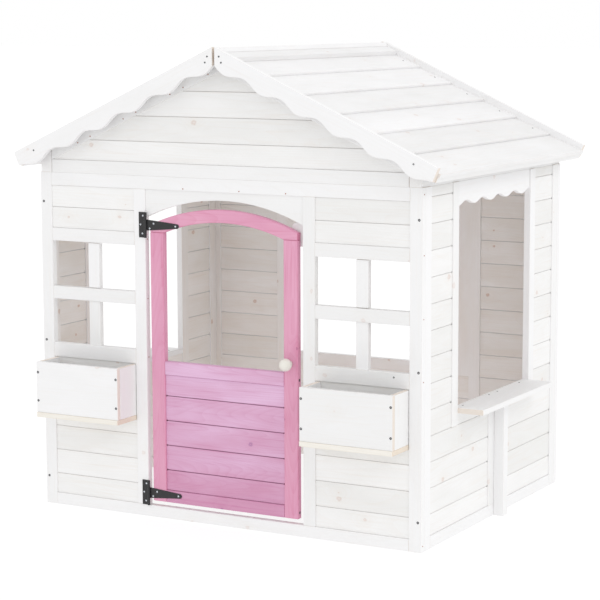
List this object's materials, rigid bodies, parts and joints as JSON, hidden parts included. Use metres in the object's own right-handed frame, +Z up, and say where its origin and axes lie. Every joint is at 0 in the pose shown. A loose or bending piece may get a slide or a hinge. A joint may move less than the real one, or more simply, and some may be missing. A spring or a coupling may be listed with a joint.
{
  "type": "playhouse",
  "caption": "Small wooden playhouse with a pitched board roof, scalloped barge boards, a half door on strap hinges, open windows, flower boxes and serving shelves.",
  "frame": {"origin": "on the ground, in the middle of the outer box of the whole house", "axes": "+X across the front, to the right for someone who faces the door; +Y from the front to the back; +Z up"},
  "size_m": [1.26, 1.0024, 1.2271],
  "materials": {
    "frame_wood": "satin",
    "board_wood": "satin",
    "roof_wood": "satin",
    "pink_wood": "satin",
    "violet_wood": "satin",
    "knob_wood": "satin",
    "black_steel": "semi-gloss",
    "screw_steel": "satin"
  },
  "bodies": {
    "house": {"threshold_rail": "frame_wood", "front_top_rail": "frame_wood", "front_post_left": "frame_wood", "front_post_right": "frame_wood", "door_jamb_left": "frame_wood", "door_jamb_right": "frame_wood", "door_header": "frame_wood", "door_stop": "frame_wood", "window_rails_left": "frame_wood", "window_rails_right": "frame_wood", "window_uprights_left": "frame_wood", "window_uprights_right": "frame_wood", "front_boards_left": "board_wood", "front_boards_right": "board_wood", "flower_box_front_left": "frame_wood", "flower_box_front_right": "frame_wood", "flower_box_ends_left": "frame_wood", "flower_box_ends_right": "frame_wood", "flower_box_base_left": "frame_wood", "flower_box_base_right": "frame_wood", "side_stiles_left": "frame_wood", "side_stiles_right": "frame_wood", "side_rails_left": "frame_wood", "side_rails_right": "frame_wood", "side_boards_left": "board_wood", "side_boards_right": "board_wood", "valance_left": "frame_wood", "valance_right": "frame_wood", "shelf_left": "frame_wood", "shelf_right": "frame_wood", "shelf_leg_left": "frame_wood", "shelf_leg_right": "frame_wood", "back_stiles": "frame_wood", "back_rails": "frame_wood", "back_boards": "board_wood", "gable_base_front": "frame_wood", "gable_base_rear": "frame_wood", "rake_rails_front": "frame_wood", "rake_rails_rear": "frame_wood", "gable_boards_front": "board_wood", "gable_boards_rear": "board_wood", "eave_plate_left": "frame_wood", "eave_plate_right": "frame_wood", "roof_battens": "frame_wood", "roof_boards_left": "roof_wood", "roof_boards_right": "roof_wood", "ridge_caps": "roof_wood", "barge_boards_front": "board_wood", "barge_boards_rear": "board_wood", "hinge_leaves": "black_steel", "hinge_pins": "black_steel", "wall_screws": "screw_steel", "roof_screws": "screw_steel"},
    "door": {"door_stiles": "pink_wood", "door_arch_rail": "pink_wood", "door_rails": "violet_wood", "door_boards": "violet_wood", "door_knob": "knob_wood", "hinge_straps": "black_steel", "door_screws": "screw_steel"}
  },
  "joints": [
    {"name": "door_hinge", "type": "hinge", "parent": "house", "child": "door", "pos_m": [-0.229, -0.417, 0.4], "axis": [0, 0, -1], "range_deg": [0, 110]}
  ]
}
